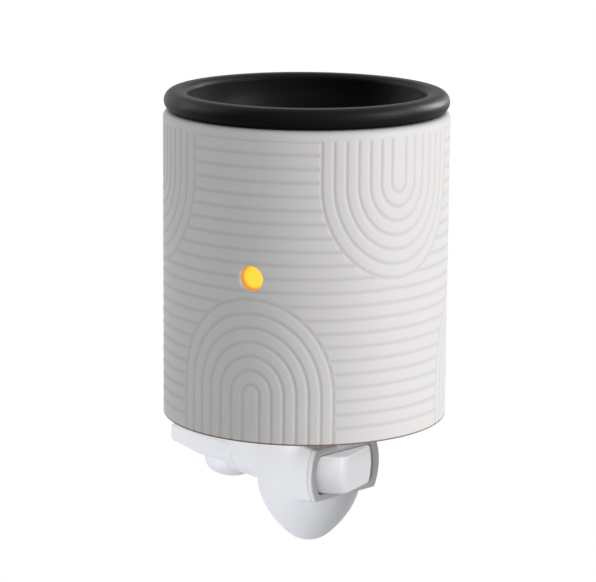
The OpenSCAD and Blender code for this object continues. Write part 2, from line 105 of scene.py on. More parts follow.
AXIS_Y = round(AXIS.y / MM, 3)
BASE_TOP = 9
BASE_T = 4
BASE_EDGE_R = 0.7
MID_Z = -4.2
SHELL_WALL = 1.8
SHELL_EDGE_R = 0.35
SEAM_Y = -28

# Round body, tapered like an egg
BODY_Y = AXIS_Y - 2.2
BODY_R = 14.85
EGG_Z = -8.45
EGG_DROP = 21.15
EGG_POWER = 0.866
EGG_TIP = -27.7
EGG_CAP_R = 10.9
EGG_BLEND_R = 0.6

# Head that carries the switch panel, melted into the body
PANEL_Y = round(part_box("switch_body")[0].y / MM, 3)
PANEL_HALF_H = 7.55
PANEL_MID_W = 13.8
PANEL_CORNER = 0.5
BOW_CENTRE = 2.25
BEZEL_T = 1.6
MELT_FRONT = 0.2
MELT_GROWTH = 1.2
MELT_LENGTH = 7.0
OPENING_IN = 1.2
OPENING_CORNER = 0.3
OPENING_END = BODY_Y - 4

# Shoulder behind the body
SHOULDER_HALF_W = 12.7
SHOULDER_LOW = -11.8
SHOULDER_CORNER = 9
SHOULDER_FILLET = 1.2
STEM_R = 5
STEM_FIT = 0.1
SCREW_X = 3.4
SCREW_Y = -31.5
SCREW_R = 1.55
SCREW_HOLE_DEPTH = 4
SCREW_SEAT_R = 2.9
SCREW_SEAT_DEPTH = 0.8

# Arm from the seam back to the plug face, stepped in along its upper part
SEAM_HALF_W = 12.6
PLUG_HALF_W = 10.6
PLUG_FACE_R = 0.6
ARM_TOP = 5.2
ARM_LOW = -7.8
ARM_LOW_REAR = -5.9
ARM_DIP = 3.95
ARM_DIP_REACH = 3.6
ARM_LOWER_R = 1.3
ARM_UPPER_R = 1.5
ARM_UNDER_R = 1.0
SLOPE_Y = -14.4
STEP_Z = -0.8
STEP_IN = 0.4
STEP_HALF_W = 9.2
STEP_FILLET = 0.5
LUMP_Y = -15.6
LUMP_R = 8.2
LUMP_Z = -10.2
LUMP_DROP = 5
LUMP_INTO_ARM = 2
LUMP_FILLET = 0.8
TONGUE = ((-5.5, -35, -9.6), (5.5, -25, -5.1))
END_WALL = 2.2
BLADE_X = 6.35
BLADE_SLOT_HALF_T = 0.8
NEUTRAL_SLOT_HALF_H = 4.02
LINE_SLOT_HALF_H = 3.225
SLOT_PAST = 0.5

# Switch body
PIVOT_Y = PANEL_Y + 4.1
CAVITY_HALF_H = 5.6
CAVITY_MID_W = 11.6
CAVITY_CORNER = 0.6
CAVITY_Y = PIVOT_Y + 7.4
MOUTH_R = 0.25
SWITCH_BACK = CAVITY_Y + 1.4
CASE_IN_H = 1.3
CASE_IN_W = 1.35
CASE_CORNER = 0.3
CASE_FRONT = PANEL_Y + 0.8
CASE_CUT_HALF_W = 12
CASE_CUT_Y = SWITCH_BACK - 3.2
TERMINAL_X = -6.2
TERMINAL_SLOT_HALF_T = 0.45
TERMINAL_SLOT_HALF_H = 2.45

# Rocker, about its pivot: u along its flat face, v out of it
ROCKER_TILT = math.radians(16)
ROCKER_R = 11.2
ROCKER_BOW_CENTRE = 3.6
ROCKER_RISE = 7.5
ROCKER_BACK = -0.6
ROCKER_HALF_H = 5.35
ROCKER_EDGE_R = 0.45
ROCKER_SKIN = 1.4
RIDGE_R = 1.2
WEB_HALF_T = 1
WEB_TOP = ROCKER_RISE - 1
BARREL_R = 2.4
BARREL_BACK = -2.2
SPRING_BORE_R = 1.6
SPRING_BORE_TOP = 5
TRUNNION_R = 1.5
TRUNNION_HALF_L = ROCKER_HALF_H + 0.85
TRUNNION_FIT = 0.05
TRUNNION_END_FIT = 0.01


# The photograph's camera, fitted to the rims' ellipses

IMAGE_W = 596
FOCAL_PX = 2777.6
SENSOR_MM = 36
VIEW_TURN = math.radians(45)
CAMERA_DISTANCE = 766.4 * MM
CAMERA_HEIGHT = 199.0 * MM
AIM_SIDE = -2.04 * MM
AIM_HEIGHT = 34.43 * MM
CAMERA_ROLL = math.radians(0.465)


def seen(side, away, height):
    """A point given across, away from and above the view, about the shade's foot."""
    c, s = math.cos(VIEW_TURN), math.sin(VIEW_TURN)
    return Vector((side * c + away * s, AXIS.y - side * s + away * c, SHADE_Z + height))


def make_camera():
    data = bpy.data.cameras.new("camera")
    data.sensor_width = SENSOR_MM
    data.lens = FOCAL_PX * SENSOR_MM / IMAGE_W
    data.clip_end = 10
    camera = bpy.data.objects.new("camera", data)
    bpy.context.scene.collection.objects.link(camera)
    eye = seen(0, -CAMERA_DISTANCE, CAMERA_HEIGHT)
    aim = seen(AIM_SIDE, 0, AIM_HEIGHT)
    forward = (aim - eye).normalized()
    right = forward.cross(Vector((0, 0, 1))).normalized()
    up = right.cross(forward)
    c, s = math.cos(CAMERA_ROLL), math.sin(CAMERA_ROLL)
    turned_right = c * right + s * up
    turned_up = c * up - s * right
    rotation = Matrix((turned_right, turned_up, -forward)).transposed()
    camera.matrix_world = Matrix.Translation(eye) @ rotation.to_4x4()
    bpy.context.scene.camera = camera


# Shader maths as Python expressions

class Value:
    """A socket of a node tree, with the operators that add Math nodes."""

    def __init__(self, nodes, socket):
        self.nodes = nodes
        self.socket = socket

    def _math(self, operation, other):
        return self.nodes.node("ShaderNodeMath", {"operation": operation}, [self, other])

    def __add__(self, other):
        return self._math("ADD", other)

    def __mul__(self, other):
        return self._math("MULTIPLY", other)

    __radd__ = __add__
    __rmul__ = __mul__


class Nodes:
    """The node tree of a material or of the world."""

    def __init__(self, tree):
        self.tree = tree

    def node(self, kind, settings=None, inputs=None, output=0):
        """Adds a node: its settings first, then the values or links of its sockets."""
        made = self.tree.nodes.new(kind)
        for key, value in (settings or {}).items():
            setattr(made, key, value)
        pairs = inputs.items() if isinstance(inputs, dict) else enumerate(inputs or [])
        for key, value in pairs:
            if isinstance(value, Value):
                self.tree.links.new(value.socket, made.inputs[key])
            else:
                made.inputs[key].default_value = value
        return Value(self, made.outputs[output])

    def show(self, shader, output):
        self.tree.links.new(shader.socket, self.tree.nodes[output].inputs["Surface"])


class Paint(Nodes):
    """One material and the nodes that it is made of."""

    def __init__(self, name, **constants):
        self.material = bpy.data.materials.new(name)
        self.material.use_nodes = True
        super().__init__(self.material.node_tree)
        self.shader = self.tree.nodes["Principled BSDF"]
        for socket, value in constants.items():
            self.shader.inputs[socket.replace("_", " ")].default_value = value

    def noise(self, scale, detail=3.0):
        place = self.node("ShaderNodeTexCoord", output="Object")
        inputs = {"Vector": place, "Scale": scale, "Detail": detail}
        return self.node("ShaderNodeTexNoise", {"noise_dimensions": "3D"}, inputs)

    def mix(self, factor, low, high):
        settings = {"data_type": "RGBA", "clamp_factor": True}
        inputs = {0: factor, 6: (*low, 1.0) if isinstance(low, tuple) else low,
                  7: (*high, 1.0) if isinstance(high, tuple) else high}
        return self.node("ShaderNodeMix", settings, inputs, output=2)

    def attribute(self, name):
        return self.node("ShaderNodeAttribute", {"attribute_name": name}, output="Fac")

    def set(self, socket, value):
        self.tree.links.new(value.socket, self.shader.inputs[socket])

    def bump(self, height, strength, distance):
        inputs = {"Strength": strength, "Distance": distance, "Height": height}
        self.set("Normal", self.node("ShaderNodeBump", {}, inputs))


def glaze_paint():
    """White stoneware glaze, with painted shade darkening the grooves, over a brown body that shows
    at the foot.
    """
    paint = Paint("white_glaze", Roughness=0.42, IOR=1.5, Specular_IOR_Level=0.2)
    groove_shade = 0.5
    cloud = paint.noise(35.0)
    groove = paint.attribute("groove")
    bare = paint.attribute("bare")
    colour = paint.mix(cloud, (0.80, 0.785, 0.78), (0.84, 0.83, 0.825))
    # The darker colour in the grooves is painted shade
    colour = paint.mix(groove * groove_shade, colour, (0.62, 0.595, 0.58))
    colour = paint.mix(bare, colour, (0.27, 0.16, 0.09))
    paint.set("Base Color", colour)
    paint.set("Roughness", 0.4 + cloud * 0.12 + groove * 0.1 + bare * 0.3)
    paint.bump(paint.noise(900.0, 4.0), strength=0.18, distance=0.2 * MM)
    return paint.material


def moulded_paint(name, low, high, roughness):
    """Injection-moulded plastic with a fine spark-eroded grain."""
    paint = Paint(name, Roughness=roughness, IOR=1.48)
    cloud = paint.noise(60.0)
    paint.set("Base Color", paint.mix(cloud, low, high))
    paint.set("Roughness", roughness - 0.05 + cloud * 0.1)
    paint.bump(paint.noise(2600.0, 2.0), strength=0.25, distance=0.03 * MM)
    return paint.material


def silicone_paint():
    """Black silicone: satin, with faint dusty lighter patches."""
    paint = Paint("black_silicone", Roughness=0.42, IOR=1.43, Specular_IOR_Level=0.05)
    cloud = paint.noise(45.0, 4.0)
    paint.set("Base Color", paint.mix(cloud, (0.003, 0.003, 0.0035), (0.006, 0.006, 0.0065)))
    paint.set("Roughness", 0.38 + cloud * 0.1)
    paint.bump(paint.noise(1800.0), strength=0.2, distance=0.04 * MM)
    return paint.material


def metal_paint(name, low, high, roughness):
    """Drawn or plated metal with fine marks."""
    paint = Paint(name, Metallic=1.0, Roughness=roughness)
    marks = paint.noise(400.0, 4.0)
    paint.set("Base Color", paint.mix(marks, low, high))
    paint.set("Roughness", roughness - 0.08 + marks * 0.16)
    paint.bump(marks, strength=0.1, distance=0.03 * MM)
    return paint.material


def lit_lens_paint():
    """Amber lens, lit from behind: yellow in the middle, orange at its rim."""
    paint = Paint("lit_amber", Roughness=0.25, IOR=1.49, Emission_Strength=1.0)
    rim = paint.attribute("rim")
    paint.set("Base Color", paint.mix(rim, (0.95, 0.55, 0.08), (0.8, 0.2, 0.01)))
    paint.set("Emission Color", paint.mix(rim, (0.95, 0.5, 0.02), (0.75, 0.16, 0.0)))
    return paint.material


# Two shades that each finish varies between, and its roughness
MOULDED = {
    "white_plastic": ((0.78, 0.80, 0.84), (0.80, 0.82, 0.87), 0.38),
    "switch_plastic": ((0.72, 0.72, 0.75), (0.75, 0.75, 0.78), 0.3),
    "inner_plastic": ((0.68, 0.68, 0.65), (0.75, 0.75, 0.72), 0.5),
    "heater_ceramic": ((0.78, 0.75, 0.68), (0.85, 0.83, 0.78), 0.7),
    "fibre_washer": ((0.34, 0.1, 0.07), (0.42, 0.15, 0.1), 0.8),
    "gasket_silicone": ((0.7, 0.7, 0.7), (0.76, 0.76, 0.75), 0.5),
    "wire_black": ((0.02, 0.02, 0.02), (0.035, 0.035, 0.035), 0.45),
    "wire_red": ((0.42, 0.03, 0.02), (0.5, 0.05, 0.03), 0.45),
    "wire_white": ((0.75, 0.75, 0.72), (0.82, 0.82, 0.8), 0.45),
}
METALS = {
    "plate_aluminium": ((0.75, 0.76, 0.78), (0.82, 0.83, 0.84), 0.35),
    "zinc_steel": ((0.58, 0.58, 0.6), (0.68, 0.68, 0.7), 0.35),
    "spring_steel": ((0.5, 0.51, 0.53), (0.6, 0.61, 0.63), 0.3),
    "brass": ((0.72, 0.52, 0.22), (0.82, 0.62, 0.3), 0.3),
}
PAINTS = {
    "glazed_stoneware": glaze_paint(),
    "black_silicone": silicone_paint(),
    "pilot_amber": lit_lens_paint(),
}
PAINTS.update({name: moulded_paint(name, *finish) for name, finish in MOULDED.items()})
PAINTS.update({name: metal_paint(name, *finish) for name, finish in METALS.items()})


def dress_cad_nodes():
    """Gives every CAD node the paint of its own material slot."""
    slot_of = {row["node"]: row["material_slot"] for row in frame["record"]["subparts"]}
    for name, node in frame["nodes"].items():
        node.data.materials.clear()
        node.data.materials.append(PAINTS[slot_of[name]])


# Mesh helpers

def add_mesh(name, points, faces, slot):
    """A smooth piece in the paint of a material slot."""
    mesh = bpy.data.meshes.new(name)
    mesh.from_pydata([tuple(p) for p in points], [], faces)
    mesh.validate()
    mesh.materials.append(PAINTS[slot])
    for polygon in mesh.polygons:
        polygon.use_smooth = True
    piece = bpy.data.objects.new(name, mesh)
    bpy.context.scene.collection.objects.link(piece)
    return piece


def add_values(piece, name, values):
    """Gives each point a number that the piece's paint reads by name."""
    layer = piece.data.attributes.new(name, "FLOAT", "POINT")
    layer.data.foreach_set("value", np.asarray(values, dtype=np.float32))


def grid_faces(rows, columns, closed_rows=False):
    """Quads between rings of points; the columns always close on themselves."""
    faces = []
    for i in range(rows if closed_rows else rows - 1):
        a, b = i * columns, ((i + 1) % rows) * columns
        for j in range(columns):
            k = (j + 1) % columns
            faces.append((a + j, a + k, b + k, b + j))
    return faces


def arc(centre, radius, start, stop, steps):
    """Points along an arc of a profile, its angles in degrees from +radius towards +height."""
    angles = np.radians(np.linspace(start, stop, steps + 1))
    return [(centre[0] + radius * math.cos(a), centre[1] + radius * math.sin(a)) for a in angles]


def fix_normals(piece, join_within=None):
    """Turns all faces outward, after joining points that are closer than a distance."""
    work = bmesh.new()
    work.from_mesh(piece.data)
    if join_within:
        bmesh.ops.remove_doubles(work, verts=work.verts, dist=join_within)
    bmesh.ops.recalc_face_normals(work, faces=work.faces)
    work.to_mesh(piece.data)
    work.free()


def lathe(name, profile, turn_steps, place, slot, values=None):
    """Spins a closed profile of radius and height pairs round +Z of the place."""
    profile = np.array(profile)
    turns = np.linspace(0, 2 * math.pi, turn_steps, endpoint=False)
    x = profile[:, :1] * np.cos(turns)
    y = profile[:, :1] * np.sin(turns)
    z = np.repeat(profile[:, 1:], turn_steps, axis=1)
    points = np.stack([x, y, z], -1).reshape(-1, 3)
    piece = add_mesh(name, points, grid_faces(len(profile), turn_steps, True), slot)
    piece.data.transform(place)
    if values is not None:
        add_values(piece, *values(points))
    fix_normals(piece, join_within=0.001 * MM)
    return piece


def apply_modifiers(piece):
    bpy.context.view_layer.update()
    changed = piece.evaluated_get(bpy.context.evaluated_depsgraph_get())
    mesh = bpy.data.meshes.new_from_object(changed)
    piece.modifiers.clear()
    piece.data = mesh


def drill(piece, cutter):
    """Cuts the cutter out of the piece and removes it."""
    fix_normals(piece)
    fix_normals(cutter)
    change = piece.modifiers.new("cut", "BOOLEAN")
    change.object = cutter
    change.solver = "EXACT"
    apply_modifiers(piece)
    bpy.data.objects.remove(cutter)


def stand(piece, body, node):
    """A piece that stands for a CAD node: the node is hidden, and the piece rides on its body."""
    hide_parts(node)
    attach(piece, body)
    return piece


# Ceramic shade

def groove_at(distance):
    """Depth share of a groove at a distance from its middle line."""
    return np.exp(-(distance / GROOVE_HALF_W) ** 2)


def nearest_groove(distance, first, pitch, count):
    """Depth share at a distance across a set of evenly spaced grooves."""
    step = (distance - first) / pitch
    index = np.clip(np.round(step), 0, count - 1)
    return groove_at((step - index) * pitch)


def shade_relief(turn, height):
    """Groove share, 0 to 1, at an angle from the pilot light and a height on the shade."""
    up_turn = (turn + ARCH_TURN / 2) % ARCH_TURN - ARCH_TURN / 2
    down_turn = (turn % ARCH_TURN) - ARCH_TURN / 2
    relief = nearest_groove(height, RING_FIRST, RING_PITCH, RING_COUNT)
    outermost = ARCH_FIRST + ARCH_PITCH * (ARCH_COUNT - 1)
    for side, rise in (
        (up_turn, np.maximum(height - ARCH_CENTRE, 0)),
        (down_turn, np.maximum(ARCH_TOP_CENTRE - height, 0)),
    ):
        reach = np.hypot(side * SHADE_R * ARCH_SQUEEZE, rise)
        arches = nearest_groove(reach, ARCH_FIRST, ARCH_PITCH, ARCH_COUNT)
        inside = reach < outermost + GROOVE_HALF_W
        relief = np.where(inside, arches, np.maximum(relief, arches))
    return np.where(height > SHADE_H - PLAIN_BAND, 0.0, relief)


def make_shade():
    turns = np.linspace(0, 2 * math.pi, SHADE_COLUMNS, endpoint=False)
    inner = SHADE_R - SHADE_WALL
    # Profile from the foot's inside, up the outer wall, over the top and down inside
    profile = [(STEM_HOLE_R, 0.0), (inner, 0.0)]
    profile += arc((SHADE_R - SHADE_FOOT_R, SHADE_FOOT_R), SHADE_FOOT_R, -90, 0, 4)
    wall = np.linspace(SHADE_FOOT_R, SHADE_H - SHADE_EDGE_R, SHADE_ROWS)[1:-1]
    profile += [(SHADE_R, z) for z in wall]
    profile += arc((SHADE_R - SHADE_EDGE_R, SHADE_H - SHADE_EDGE_R), SHADE_EDGE_R, 0, 90, 6)
    profile += arc((inner + SHADE_LIP_R, SHADE_H - SHADE_LIP_R), SHADE_LIP_R, 90, 180, 3)
    profile += [(inner, SHADE_FLOOR + FLOOR_BEVEL), (inner - FLOOR_BEVEL, SHADE_FLOOR),
                (STEM_HOLE_R, SHADE_FLOOR)]
    radius, height = np.array(profile).T
    outer = (radius > inner + SHADE_EDGE_R) & (height > GROOVE_LOW)
    relief = shade_relief(turns[None, :], height[:, None]) * outer[:, None]
    r = radius[:, None] - relief * GROOVE_DEPTH
    angle = PILOT_TURN + turns
    x = AXIS.x + r * np.cos(angle)
    y = AXIS.y + r * np.sin(angle)
    z = np.repeat((SHADE_Z + height)[:, None], SHADE_COLUMNS, axis=1)
    points = np.stack([x, y, z], -1).reshape(-1, 3)
    faces = grid_faces(len(profile), SHADE_COLUMNS, True)
    shade = add_mesh("glazed_shade", points, faces, "glazed_stoneware")
    add_values(shade, "groove", relief.reshape(-1))
    bare = np.clip((BARE_TOP - height) / BARE_FADE, 0, 1)
    bare = np.where(radius > inner - FLOOR_BEVEL, bare, bare * BARE_AT_STEM)
    add_values(shade, "bare", np.repeat(bare, SHADE_COLUMNS))
    drill(shade, pilot_rod(PILOT_HOLE_R, *PILOT_CUT, sides=64))
    return stand(shade, "housing", "ceramic_shade")


def pilot_frame():
    """Turns +Z into the outward direction of the pilot light, at its height."""
    place = Matrix.Translation((AXIS.x, AXIS.y, PILOT_Z))
    return place @ Matrix.Rotation(PILOT_TURN, 4, "Z") @ Matrix.Rotation(math.pi / 2, 4, "Y")


def pilot_rod(radius, start, stop, sides):
    """A plain rod along the pilot light's direction, for cutting its hole."""
    ring = [(radius * math.cos(a), radius * math.sin(a))
            for a in np.linspace(0, 2 * math.pi, sides, endpoint=False)]
    points = [(x, y, z) for z in (start, stop) for x, y in ring]
    faces = grid_faces(2, sides) + [tuple(reversed(range(sides))), tuple(range(sides, 2 * sides))]
    rod = add_mesh("cutter", points, faces, "glazed_stoneware")
    rod.matrix_world = pilot_frame()
    return rod


# Silicone dish

def make_dish():
    """Rolled rim on the shade's top, with a sloping well inside the shade."""
    rim_half, rim_out = 2.85, 39.8
    top, lip_r, lip_drop = 5.7, 33.4, 0.4
    wall, well_r, well_depth = 2.2, 27.5, 22.7
    brow_r, bead_r = 2.3, 0.35
    base_round, well_round = 1.5, 3.0
    lip_h = top - lip_drop
    well = lip_h - well_depth
    under = well - wall
    skirt_r = lip_r + wall - 0.4
    profile = [(0.0, under), (well_r - 0.5, under)]
    profile += arc((well_r - 0.5, under + base_round), base_round, -90, -25, 6)
    profile += [(skirt_r - 0.3, -3), (skirt_r, -1), (skirt_r + 0.1, 0.0)]
    profile += arc((rim_out - rim_half, rim_half), rim_half, -90, 90, 24)
    # The rim falls over a brow to the lip, which has a fine bead
    profile += arc((lip_r + 2.1, top - brow_r), brow_r, 90, 152, 10)
    profile += arc((lip_r + bead_r, lip_h - 1.1), bead_r, 100, 200, 6)
    profile += [(lip_r - 0.1, 1.5), (lip_r - 0.2, -1), (well_r + 2.5, well + 7.5)]
    profile += arc((well_r - 2.0, well + well_round), well_round, -14, -90, 10)
    profile += [(0.0, well)]
    profile = [(r * MM, h * MM) for r, h in profile]
    place = Matrix.Translation((AXIS.x, AXIS.y, SHADE_TOP))
    dish = lathe("wax_dish", profile, turn_steps=192, place=place, slot="black_silicone")
    return stand(dish, "dish", "silicone_dish")


# Pilot light

def make_lens():
    """Flat amber lens behind the hole, with a wider flange inside the shade."""
    r = PILOT_HOLE_R / MM - 0.05
    face, crown, edge = 37.4, 0.12, 0.35
    flange_r, flange_top, back = 4.6, 35.0, 31.0
    pocket_r, pocket_top = 2.55, 35.0
    rim_from, rim_power = 0.72, 1.5
    profile = [(0.0, pocket_top), (pocket_r, pocket_top), (pocket_r, back), (flange_r, back),
               (flange_r, flange_top), (r, flange_top)]
    profile += [(r, h) for h in np.linspace(flange_top + 0.4, face - edge, 6)]
    profile += arc((r - edge, face - edge), edge, 0, 90, 4)
    profile += [(r * k, face + crown * (1 - k * k)) for k in (0.85, 0.7, 0.5, 0.3, 0.15, 0)]
    profile = [(a * MM, h * MM) for a, h in profile]

    def rim(points):
        away = np.hypot(points[:, 0], points[:, 1]) / (r * MM)
        return "rim", np.clip((away - rim_from) / (1 - rim_from), 0, 1) ** rim_power

    lens = lathe("amber_lens", profile, turn_steps=64, place=pilot_frame(), slot="pilot_amber",
                 values=rim)
    return stand(lens, "housing", "pilot_lens")


# Solids as distance rules, in millimetres: below zero is inside

def rounded_overlap(a, b, radius):
    """Where both solids are, with its new edges rounded."""
    return np.minimum(np.maximum(a, b), -radius) + np.hypot(
        np.maximum(a + radius, 0), np.maximum(b + radius, 0))


def rounded_join(a, b, radius):
    """Both solids as one, with a round fillet in the crease."""
    return np.maximum(np.minimum(a, b), radius) - np.hypot(
        np.maximum(radius - a, 0), np.maximum(radius - b, 0))


def melted_join(a, b, reach):
    """Both solids as one, flowing into each other over a reach that may vary."""
    share = np.clip(0.5 + 0.5 * (b - a) / reach, 0, 1)
    return b * (1 - share) + a * share - reach * share * (1 - share)


def slab(value, low, high):
    return np.maximum(low - value, value - high)


def block(x, y, z, low, high):
    return np.maximum(np.maximum(slab(x, low[0], high[0]), slab(y, low[1], high[1])),
                      slab(z, low[2], high[2]))


def barrel(x, z, half_h, mid_w, corner):
    """Outline with bowed sides, shared by the switch, its bezel and the panel."""
    bow = np.hypot(np.abs(x) + BOW_CENTRE, z) - (mid_w + BOW_CENTRE)
    return rounded_overlap(bow, np.abs(z) - half_h, corner)


def egg_rule(x, y, z):
    """Round post that tapers below EGG_Z, with a rounder cap at its tip."""
    out = np.hypot(x, y - BODY_Y)
    down = np.clip((EGG_Z - z) / EGG_DROP, 0, 1)
    taper = 1 - down ** 2
    radius = BODY_R * taper ** EGG_POWER
    # The taper's slope turns the sideways distance into a square one
    lean = BODY_R * EGG_POWER * 2 * down / EGG_DROP * np.maximum(taper, 0.02) ** (EGG_POWER - 1)
    side = (out - radius) / np.hypot(1, lean)
    cap = (EGG_TIP + out ** 2 / (2 * EGG_CAP_R) - z) / np.hypot(1, out / EGG_CAP_R)
    return np.where(z < EGG_Z, rounded_overlap(side, cap, EGG_BLEND_R), side)


def dome(out, down, radius, drop):
    """A round post whose end, below the height where down is 0, is half an ellipsoid."""
    down = np.minimum(down, 0)
    near = np.hypot(out / radius, down / drop)
    slope = np.maximum(np.hypot(out / radius ** 2, down / drop ** 2), 1e-6)
    return near * (near - 1) / slope


def cast(name, rule, low, high, cell, slot):
    """Meshes the surface where the rule is zero, one point in each grid cell that it crosses.

    The grid fills the box from low to high, which holds the whole solid.
    """
    axes = [np.arange(low[i] - cell, high[i] + 2 * cell, cell) for i in range(3)]
    corner = np.stack(np.meshgrid(*axes, indexing="ij"), -1)
    value = rule(*np.moveaxis(corner, -1, 0))
    inside = value < 0
    cells = tuple(n - 1 for n in value.shape)
    total = np.zeros(cells + (3,))
    count = np.zeros(cells)
    steps = np.eye(3, dtype=int)

    def part(array, offset, size):
        return array[tuple(slice(o, o + n) for o, n in zip(offset, size))]

    # Each cell's point starts at the mean of the places where its edges are crossed
    for axis in range(3):
        one, two = steps[(axis + 1) % 3], steps[(axis + 2) % 3]
        for start in (0 * one, two, one, one + two):
            here, there = part(value, start, cells), part(value, start + steps[axis], cells)
            crossed = (here < 0) != (there < 0)
            share = np.where(crossed, here / np.where(crossed, here - there, 1), 0)
            at = part(corner, start, cells) + share[..., None] * cell * steps[axis]
            total += at * crossed[..., None]
            count += crossed
    used = count > 0
    index = np.full(cells, -1)
    index[used] = np.arange(used.sum())
    points = total[used] / count[used][:, None]
    # Then it steps down the rule's slope onto the surface
    probe, flattest, longest = 0.01, 0.5, 0.3 * cell
    for _ in range(3):
        now = rule(*points.T)
        slope = np.stack([
            (rule(*(points + probe * s).T) - rule(*(points - probe * s).T)) / (2 * probe)
            for s in steps], -1)
        move = -now[:, None] * slope / np.maximum((slope ** 2).sum(-1), flattest ** 2)[:, None]
        length = np.maximum(np.linalg.norm(move, axis=-1), 1e-9)
        points += move * np.minimum(1, longest / length)[:, None]
    faces = []
    for axis in range(3):
        one, two = steps[(axis + 1) % 3], steps[(axis + 2) % 3]
        size = np.array(cells) - one - two
        edge = one + two
        here, there = part(inside, edge, size), part(inside, edge + steps[axis], size)
        around = np.stack([part(index, o, size) for o in (edge, one, 0 * one, two)], -1)
        faces += [around[here & ~there], around[~here & there][:, ::-1]]
    return add_mesh(name, points * MM, np.concatenate(faces).tolist(), slot)


# Housing shells

def shoulder_section(x, z):
    """Straight sides with round lower corners, shared by the shoulder and the arm."""
    return rounded_overlap(np.abs(x) - SHOULDER_HALF_W, SHOULDER_LOW - z, SHOULDER_CORNER)


def front_outside(x, y, z):
    """Egg, panel head and shoulder melted together, cut flat under the shade."""
    egg = egg_rule(x, y, z)
    # The head's sides run straight from the panel's edge to touch the egg
    flare = (BODY_R - PANEL_MID_W) * np.clip((y - PANEL_Y) / (BODY_Y - PANEL_Y), 0, 1)
    head = barrel(x, z - MID_Z, PANEL_HALF_H + flare, PANEL_MID_W + flare, PANEL_CORNER)
    head = np.maximum(head, slab(y, PANEL_Y + BEZEL_T, BODY_Y))
    reach = MELT_FRONT + MELT_GROWTH * np.clip((y - PANEL_Y) / MELT_LENGTH, 0, 1)
    solid = melted_join(egg, head, reach)
    shoulder = np.maximum(shoulder_section(x, z), BODY_Y - y)
    solid = rounded_join(solid, shoulder, SHOULDER_FILLET)
    return rounded_overlap(solid, z - BASE_TOP, BASE_EDGE_R)


def front_rule(x, y, z):
    outside = front_outside(x, y, z)
    solid = rounded_overlap(outside, y - SEAM_Y, SHELL_EDGE_R)
    solid = np.maximum(solid, -(outside + SHELL_WALL))
    opening = barrel(x, z - MID_Z, PANEL_HALF_H - OPENING_IN, PANEL_MID_W - OPENING_IN,
                     OPENING_CORNER)
    solid = np.maximum(solid, -np.maximum(opening, y - OPENING_END))
    stem_hole = np.maximum(np.hypot(x, y - AXIS_Y) - (STEM_R + STEM_FIT), BASE_TOP - BASE_T - z)
    screw = np.hypot(np.abs(x) - SCREW_X, y - SCREW_Y)
    screw_hole = np.maximum(screw - SCREW_R, z - (SHOULDER_LOW + SCREW_HOLE_DEPTH))
    screw_seat = np.maximum(screw - SCREW_SEAT_R, z - (SHOULDER_LOW + SCREW_SEAT_DEPTH))
    holes = np.minimum(stem_hole, np.minimum(screw_hole, screw_seat))
    return np.maximum(solid, -holes)


def make_front_shell():
    low = (-15.6, -62.4, -28.2)
    high = (15.6, -27.8, 9.2)
    shell = cast("front_housing", front_rule, low, high, cell=0.3, slot="white_plastic")
    return stand(shell, "housing", "front_shell")


def rear_outside(x, y, z):
    """Arm with round edges and a narrower upper part, flowing into the lump below it."""
    back = np.clip(1 - y / SEAM_Y, 0, 1)
    low_half_w = SEAM_HALF_W + (PLUG_HALF_W - SEAM_HALF_W) * back
    high_half_w = SEAM_HALF_W - STEP_IN + (STEP_HALF_W + STEP_IN - SEAM_HALF_W) * back
    top = BASE_TOP + (ARM_TOP - BASE_TOP) * back
    under = ARM_LOW + (ARM_LOW_REAR - ARM_LOW) * np.clip(1 - y / SLOPE_Y, 0, 1)
    under = under - ARM_DIP * np.exp(-((y - SEAM_Y) / ARM_DIP_REACH) ** 2)
    lower = rounded_overlap(np.abs(x) - low_half_w, z - STEP_Z, ARM_LOWER_R)
    upper = rounded_overlap(np.abs(x) - high_half_w, z - top, ARM_UPPER_R)
    arm = rounded_join(lower, upper, STEP_FILLET)
    arm = rounded_overlap(np.maximum(arm, shoulder_section(x, z)), under - z, ARM_UNDER_R)
    arm = rounded_overlap(arm, y, PLUG_FACE_R)
    lump = dome(np.hypot(x, y - LUMP_Y), z - LUMP_Z, LUMP_R, LUMP_DROP)
    lump = np.maximum(lump, z - (ARM_LOW + LUMP_INTO_ARM))
    return rounded_join(arm, lump, LUMP_FILLET)


def rear_rule(x, y, z):
    outside = rear_outside(x, y, z)
    hollow = np.maximum(outside + SHELL_WALL, y + END_WALL)
    solid = np.maximum(rounded_overlap(outside, SEAM_Y - y, SHELL_EDGE_R), -hollow)
    solid = np.minimum(solid, block(x, y, z, *TONGUE))
    screw_hole = np.maximum(np.hypot(np.abs(x) - SCREW_X, y - SCREW_Y) - SCREW_R, z)
    slot_half_h = np.where(x < 0, NEUTRAL_SLOT_HALF_H, LINE_SLOT_HALF_H)
    slot = np.maximum(np.abs(np.abs(x) - BLADE_X) - BLADE_SLOT_HALF_T, np.abs(z) - slot_half_h)
    slot = np.maximum(slot, -END_WALL - SLOT_PAST - y)
    return np.maximum(solid, -np.minimum(screw_hole, slot))


def make_rear_shell():
    low = (-12.9, -35.2, -15.4)
    high = (12.9, 0.2, 9.2)
    shell = cast("rear_housing", rear_rule, low, high, cell=0.36, slot="white_plastic")
    return stand(shell, "housing", "rear_shell")


# Switch and rocker

